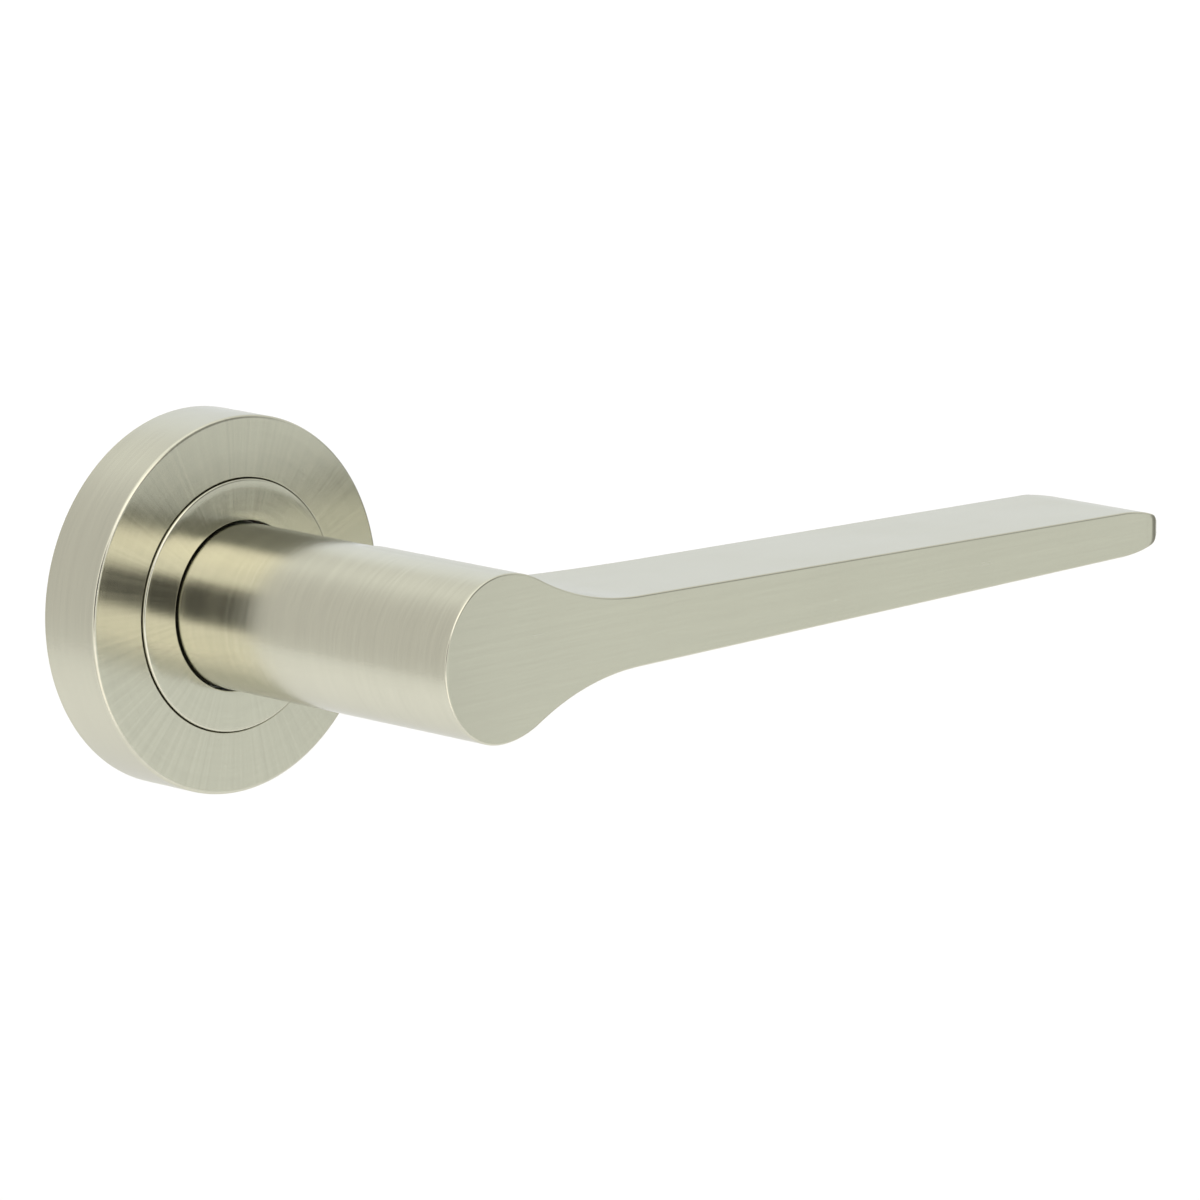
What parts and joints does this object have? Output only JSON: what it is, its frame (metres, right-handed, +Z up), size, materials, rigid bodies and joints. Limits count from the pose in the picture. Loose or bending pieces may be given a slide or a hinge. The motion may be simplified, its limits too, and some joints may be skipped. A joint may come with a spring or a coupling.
{
  "type": "door lever handle",
  "caption": "Sprung door lever on a round rose: a flat tapering blade on a round neck, with a clip-on rose cover and a square spindle.",
  "frame": {"origin": "on the spindle axis, in the plane of the door's face, where the rose rests on the door", "axes": "+Y into the door along the spindle, -Y towards the user; +X along the lever to its tip; +Z up"},
  "size_m": [0.158, 0.0836, 0.052],
  "materials": {
    "brushed_nickel": "satin nickel, brushed: concentric on the rose, round the neck and along the blade",
    "zinc_casting": "plain die-cast zinc, matt grey",
    "zinc_plated_steel": "pressed steel, bright zinc plated",
    "spindle_steel": "drawn steel bar",
    "spring_steel": "oiled spring wire",
    "black_steel": "black oxide",
    "brass": "turned brass",
    "nylon": "natural nylon",
    "rubber": "black nitrile rubber"
  },
  "bodies": {
    "rose": {"sub_rose": "zinc_casting", "centre_collar": "brushed_nickel", "neck_bush": "nylon", "rear_bush": "nylon", "return_spring": "spring_steel", "cassette_plate": "zinc_plated_steel", "cassette_screw_right": "zinc_plated_steel", "cassette_screw_left": "zinc_plated_steel", "stop_pin_upper": "zinc_plated_steel", "stop_pin_lower": "zinc_plated_steel", "bolt_sleeve_upper": "brass", "bolt_sleeve_lower": "brass", "cover_grip_ring": "rubber"},
    "cover": {"rose_cover": "brushed_nickel"},
    "lever_assembly": {"lever": "brushed_nickel", "neck_washer": "nylon", "drive_plate": "zinc_plated_steel", "retaining_washer": "zinc_plated_steel", "circlip": "black_steel", "spindle": "spindle_steel", "grub_screw": "black_steel"}
  },
  "joints": [
    {"name": "lever_turn", "type": "hinge", "parent": "rose", "child": "lever_assembly", "pos_m": [0, 0, 0], "axis": [0, 1, 0], "range_deg": [0, 45], "stiffness_Nm_per_rad": 1, "springref_deg": -34.38, "deforming": ["return_spring"]},
    {"name": "cover_slide", "type": "slide", "parent": "rose", "child": "cover", "axis": [0, -1, 0], "range_m": [0, 0.025]}
  ]
}
